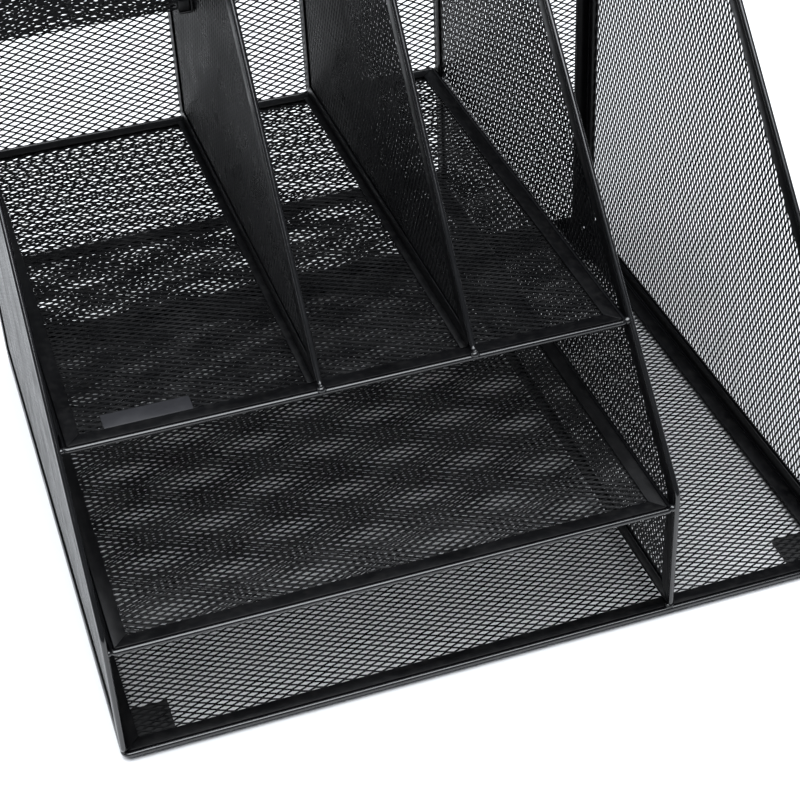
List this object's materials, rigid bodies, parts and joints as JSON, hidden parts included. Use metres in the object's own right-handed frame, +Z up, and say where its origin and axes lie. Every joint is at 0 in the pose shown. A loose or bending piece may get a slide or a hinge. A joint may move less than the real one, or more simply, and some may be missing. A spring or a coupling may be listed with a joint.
{
  "type": "desktop file sorter",
  "caption": "Free-standing desk sorter in black expanded-metal mesh: flat shelves over a base tray, sloped file dividers, a tall side bay and a small sliding drawer",
  "frame": {"origin": "on the desk, under the centre of the footprint", "axes": "+X to the right across the width, +Y to the back panel, +Z up"},
  "size_m": [0.3274, 0.2984, 0.3062],
  "materials": {
    "black_mesh": "satin powder coat",
    "black_binding": "satin powder coat",
    "black_wire": "satin powder coat",
    "black_runner": "satin powder coat",
    "rubber": "matte",
    "label_film": "matte film"
  },
  "bodies": {
    "frame": {"base_mesh": "black_mesh", "base_binding": "black_binding", "base_wire": "black_wire", "back_mesh": "black_mesh", "back_binding": "black_binding", "back_wire": "black_wire", "left_side_mesh": "black_mesh", "left_side_binding": "black_binding", "left_side_wire": "black_wire", "middle_wall_mesh": "black_mesh", "middle_wall_binding": "black_binding", "middle_wall_wire": "black_wire", "right_side_mesh": "black_mesh", "right_side_binding": "black_binding", "right_side_wire": "black_wire", "lower_shelf_mesh": "black_mesh", "lower_shelf_binding": "black_binding", "lower_shelf_wire": "black_wire", "upper_shelf_mesh": "black_mesh", "upper_shelf_binding": "black_binding", "upper_shelf_wire": "black_wire", "left_divider_mesh": "black_mesh", "left_divider_binding": "black_binding", "left_divider_wire": "black_wire", "right_divider_mesh": "black_mesh", "right_divider_binding": "black_binding", "right_divider_wire": "black_wire", "left_drawer_runner": "black_runner", "right_drawer_runner": "black_runner", "rubber_feet": "rubber", "label_plate": "label_film"},
    "drawer": {"drawer_floor_mesh": "black_mesh", "drawer_wall_mesh": "black_mesh", "drawer_divider_mesh": "black_mesh", "drawer_rim_wire": "black_wire", "drawer_rim_binding": "black_binding", "drawer_slide_bars": "black_runner"}
  },
  "joints": [
    {"name": "drawer_slide", "type": "slide", "parent": "frame", "child": "drawer", "axis": [0, -1, 0], "range_m": [0, 0.04]}
  ]
}
